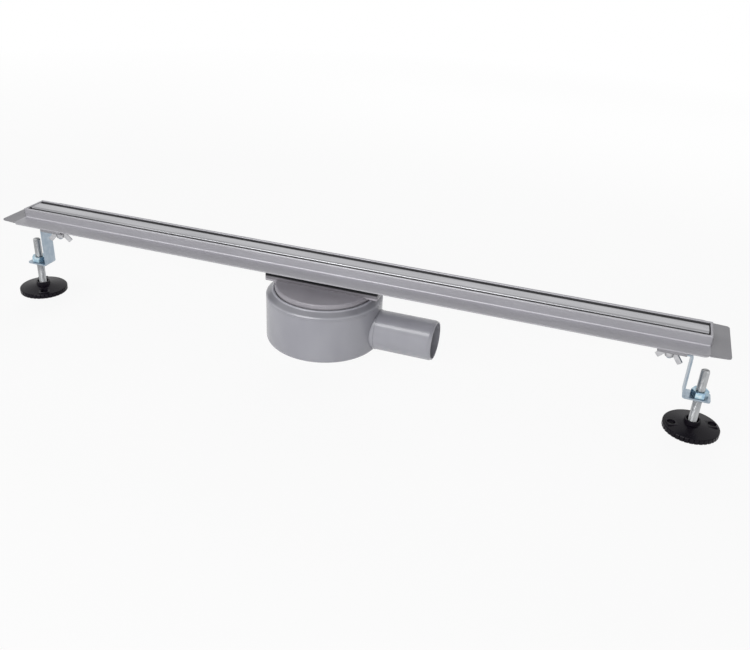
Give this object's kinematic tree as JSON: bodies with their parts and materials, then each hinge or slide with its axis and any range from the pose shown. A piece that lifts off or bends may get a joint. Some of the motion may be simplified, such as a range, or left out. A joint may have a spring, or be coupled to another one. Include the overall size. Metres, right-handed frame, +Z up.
{
  "type": "shower channel drain",
  "caption": "Linear shower drain: folded steel channel with slotted-edge cover, swivelling floor trap with side outlet, and height-adjustable feet.",
  "frame": {"origin": "on the floor under the middle of the channel", "axes": "+X along the channel towards the outlet, +Y to the wall side, +Z up"},
  "size_m": [0.9556, 0.1466, 0.13],
  "materials": {
    "stainless": "satin, brushed along the channel",
    "stainless_cover": "brushed along the cover",
    "stainless_hardware": "bright",
    "black_rubber": "matt",
    "grey_plastic": "satin moulded",
    "zinc": "blue zinc plating",
    "zinc_nut": "blue zinc plating, iridescent",
    "black_plastic": "moulded, slightly glossy"
  },
  "bodies": {
    "channel": {"channel_trough": "stainless", "end_plate_left": "stainless", "end_plate_right": "stainless", "cover_plate": "stainless_cover", "cover_supports": "stainless", "clamp_frame": "stainless", "clamp_screws": "stainless_hardware", "trough_gasket": "black_rubber", "trap_head": "grey_plastic", "seal_ring": "black_rubber", "trap_insert": "grey_plastic", "hair_strainer": "stainless_hardware", "leg_cradle_left": "stainless", "leg_cradle_right": "stainless", "stud_left": "zinc", "stud_right": "zinc"},
    "trap": {"trap_pot": "grey_plastic", "seal_cup": "grey_plastic"},
    "leg_left": {"bracket_left": "zinc", "weld_nut_left": "zinc_nut"},
    "washer_left": {"washer_left": "zinc"},
    "wing_nut_left": {"wing_nut_left": "zinc"},
    "foot_left": {"foot_left": "black_plastic"},
    "spindle_left": {"spindle_left": "zinc"},
    "leg_right": {"bracket_right": "zinc", "weld_nut_right": "zinc_nut"},
    "washer_right": {"washer_right": "zinc"},
    "wing_nut_right": {"wing_nut_right": "zinc"},
    "foot_right": {"foot_right": "black_plastic"},
    "spindle_right": {"spindle_right": "zinc"}
  },
  "joints": [
    {"name": "trap_swivel", "type": "hinge", "parent": "channel", "child": "trap", "pos_m": [-0.011, 0, 0.08], "axis": [0, 0, 1], "continuous": true},
    {"name": "leg_left_turn", "type": "hinge", "parent": "channel", "child": "leg_left", "pos_m": [-0.4044, 0, 0.0975], "axis": [0, 0, 1], "range_deg": [-180, 180]},
    {"name": "washer_left_drop", "type": "slide", "parent": "channel", "child": "washer_left", "axis": [0, 0, 1], "range_m": [-0.007, 0]},
    {"name": "wing_nut_left_turn", "type": "hinge", "parent": "washer_left", "child": "wing_nut_left", "pos_m": [-0.4044, 0, 0.0915], "axis": [0, 0, 1], "range_deg": [-2519, 0]},
    {"name": "foot_left_height", "type": "slide", "parent": "leg_left", "child": "foot_left", "axis": [0, 0, 1], "range_m": [-0.024, 0.02]},
    {"name": "spindle_left_turn", "type": "hinge", "parent": "foot_left", "child": "spindle_left", "pos_m": [-0.4458, 0, 0.04], "axis": [0, 0, 1], "range_deg": [-5761, 4801]},
    {"name": "leg_right_turn", "type": "hinge", "parent": "channel", "child": "leg_right", "pos_m": [0.4044, 0, 0.0975], "axis": [0, 0, 1], "range_deg": [-180, 180]},
    {"name": "washer_right_drop", "type": "slide", "parent": "channel", "child": "washer_right", "axis": [0, 0, 1], "range_m": [-0.007, 0]},
    {"name": "wing_nut_right_turn", "type": "hinge", "parent": "washer_right", "child": "wing_nut_right", "pos_m": [0.4044, 0, 0.0915], "axis": [0, 0, 1], "range_deg": [-2519, 0]},
    {"name": "foot_right_height", "type": "slide", "parent": "leg_right", "child": "foot_right", "axis": [0, 0, 1], "range_m": [-0.024, 0.02]},
    {"name": "spindle_right_turn", "type": "hinge", "parent": "foot_right", "child": "spindle_right", "pos_m": [0.4458, 0, 0.04], "axis": [0, 0, 1], "range_deg": [-5761, 4801]}
  ],
  "couplings": [
    {"joint": "washer_left_drop", "follows": "wing_nut_left_turn", "m_per_rad": 0.00015915},
    {"joint": "spindle_left_turn", "follows": "foot_left_height", "rad_per_m": 4188.8},
    {"joint": "washer_right_drop", "follows": "wing_nut_right_turn", "m_per_rad": 0.00015915},
    {"joint": "spindle_right_turn", "follows": "foot_right_height", "rad_per_m": 4188.8}
  ]
}
